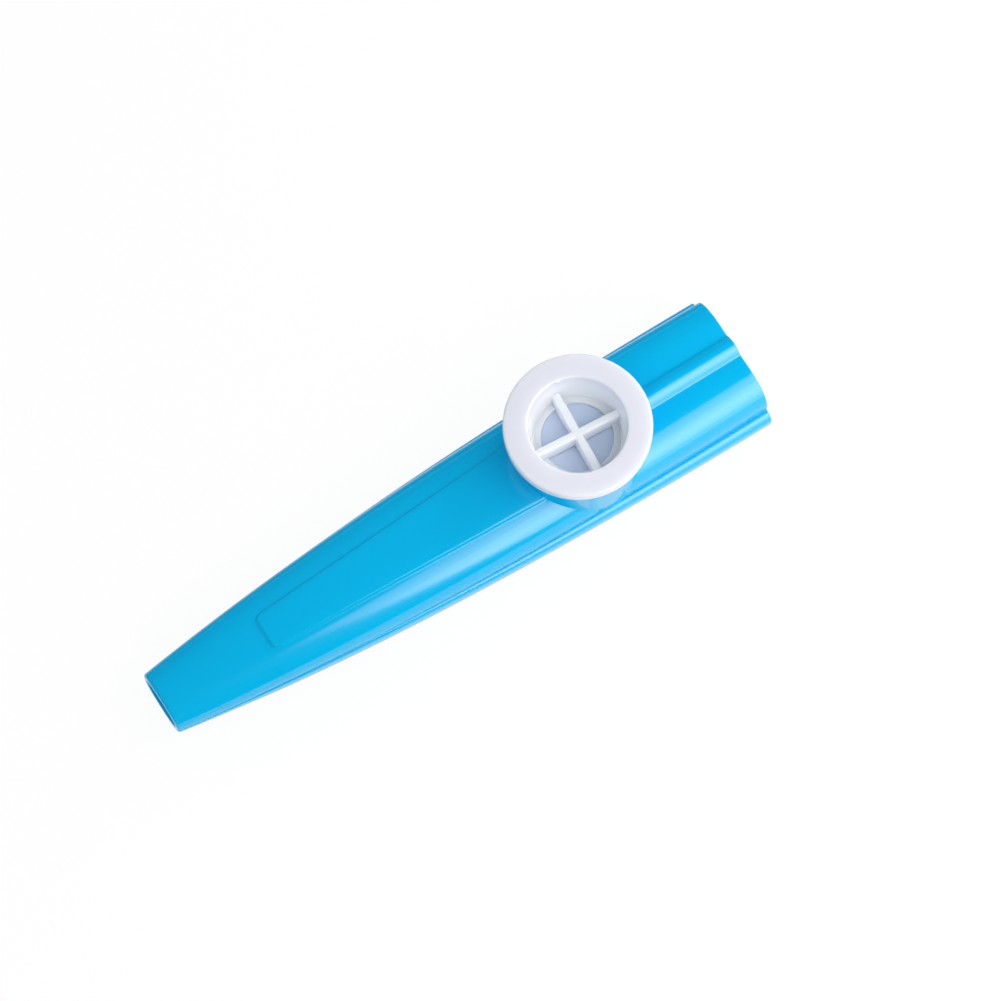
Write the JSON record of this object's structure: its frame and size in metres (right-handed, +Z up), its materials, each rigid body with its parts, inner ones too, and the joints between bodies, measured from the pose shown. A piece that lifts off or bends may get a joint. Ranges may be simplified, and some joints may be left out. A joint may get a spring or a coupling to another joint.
{
  "type": "kazoo",
  "caption": "Moulded plastic kazoo: tapered two-shell body with a turret, a film diaphragm on a ring, and a lift-off cap with a crossed window.",
  "frame": {"origin": "on the surface that the kazoo lies on, under the middle of its length and width", "axes": "+X from the mouth to the wide end, +Z up along the turret's axis, +Y to the left of someone who looks along +X"},
  "size_m": [0.12, 0.0264, 0.0246],
  "materials": {
    "body_plastic": "glossy injection-moulded cyan plastic",
    "cap_plastic": "smooth white injection-moulded plastic",
    "membrane_film": "thin milky lavender film",
    "ring_plastic": "plain white moulded ring"
  },
  "bodies": {
    "body": {"upper_shell": "body_plastic", "lower_shell": "body_plastic"},
    "diaphragm": {"membrane": "membrane_film", "membrane_ring": "ring_plastic"},
    "turret_cap": {"cap": "cap_plastic"}
  },
  "joints": [
    {"name": "diaphragm_lift", "type": "slide", "parent": "body", "child": "diaphragm", "axis": [0, 0, 1], "range_m": [0, 0.01]},
    {"name": "cap_lift", "type": "slide", "parent": "diaphragm", "child": "turret_cap", "axis": [0, 0, 1], "range_m": [0, 0.012]}
  ]
}
